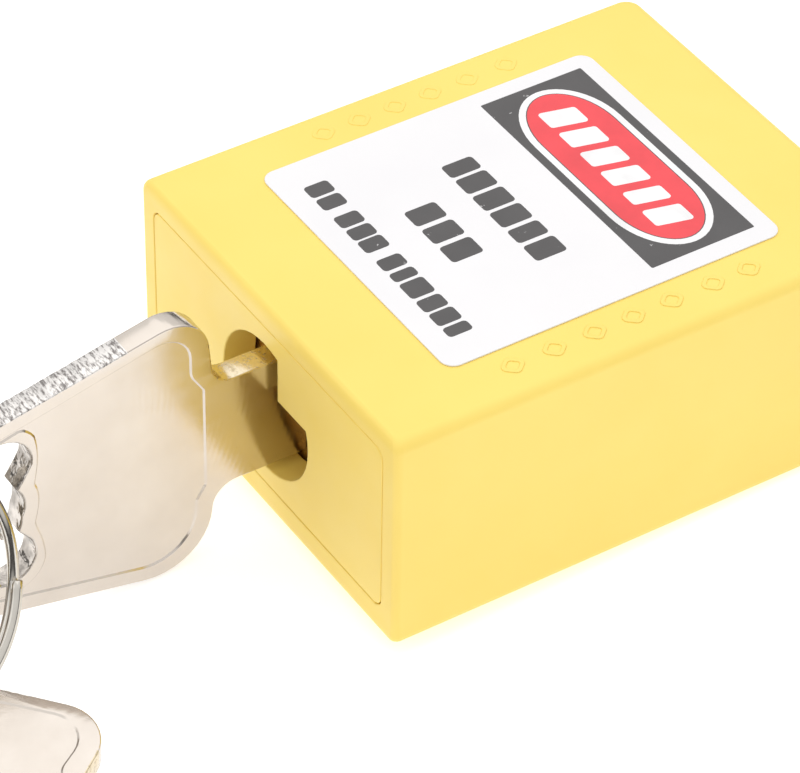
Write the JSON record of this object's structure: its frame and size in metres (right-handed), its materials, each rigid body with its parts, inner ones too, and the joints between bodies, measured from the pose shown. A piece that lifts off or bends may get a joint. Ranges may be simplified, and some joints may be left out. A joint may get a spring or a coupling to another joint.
{
  "type": "keyed safety lockout padlock",
  "caption": "Keyed safety lockout padlock: moulded body with label, pin cylinder, cam and bolt, sprung swivelling shackle, turned key, split ring and spare key.",
  "frame": {"origin": "centre of the padlock body's flat back face", "axes": "+X across the body to the right of the label, +Y from the keyhole face to the shackle face, +Z out through the label"},
  "size_m": [0.0688, 0.1586, 0.025],
  "materials": {
    "yellow_nylon": "moulded nylon, satin",
    "label": "printed vinyl label",
    "grey_nylon": "glass-filled nylon",
    "steel": "zinc plated",
    "spring_steel": "drawn wire",
    "brass": "turned",
    "chrome_steel": "polished plate",
    "nickel": "nickel plate, lightly brushed"
  },
  "bodies": {
    "body": {"body_shell": "yellow_nylon", "keyhole_cover": "yellow_nylon", "label": "label", "frame_front": "grey_nylon", "frame_back": "grey_nylon", "frame_screws": "steel", "cylinder_housing": "brass", "chamber_cover": "brass", "driver_pins": "steel", "pin_springs": "spring_steel", "cylinder_screw": "steel", "shackle_retaining_pin": "steel", "shackle_spring": "spring_steel"},
    "plug": {"cylinder_plug": "brass", "key_pins": "brass", "plug_clip": "steel", "cam": "steel", "cam_screw": "steel", "service_key": "nickel"},
    "bolt": {"lock_bolt": "steel", "follower_pin": "steel"},
    "plunger": {"spring_plunger": "brass"},
    "shackle": {"shackle": "chrome_steel"},
    "ring": {"split_ring": "nickel"},
    "spare": {"spare_key": "nickel"}
  },
  "joints": [
    {"name": "key_turn", "type": "hinge", "parent": "body", "child": "plug", "pos_m": [0, -0.02055, 0.0108], "axis": [0, -1, 0], "range_deg": [0, 90]},
    {"name": "bolt_slide", "type": "slide", "parent": "body", "child": "bolt", "axis": [-1, 0, 0], "range_m": [0, 0.0025]},
    {"name": "shackle_lift", "type": "slide", "parent": "body", "child": "plunger", "axis": [0, 1, 0], "range_m": [-0.0135, 0], "stiffness_N_per_m": 250, "springref_m": 0.008, "deforming": ["shackle_spring"]},
    {"name": "shackle_swivel", "type": "hinge", "parent": "plunger", "child": "shackle", "pos_m": [0.013, 0.02375, 0.0108], "axis": [0, 1, 0], "range_deg": [-180, 180]},
    {"name": "ring_swing", "type": "hinge", "parent": "plug", "child": "ring", "pos_m": [0, -0.05075, 0.0104], "axis": [1, 0, 0], "range_deg": [-40, 10]},
    {"name": "spare_key_slide", "type": "hinge", "parent": "ring", "child": "spare", "pos_m": [0.00094, -0.05918, 0.00955], "axis": [0.829, 0, 0.5592], "range_deg": [-45, 25]}
  ],
  "couplings": [
    {"joint": "bolt_slide", "follows": "key_turn", "m_per_rad": 0.0015915}
  ]
}
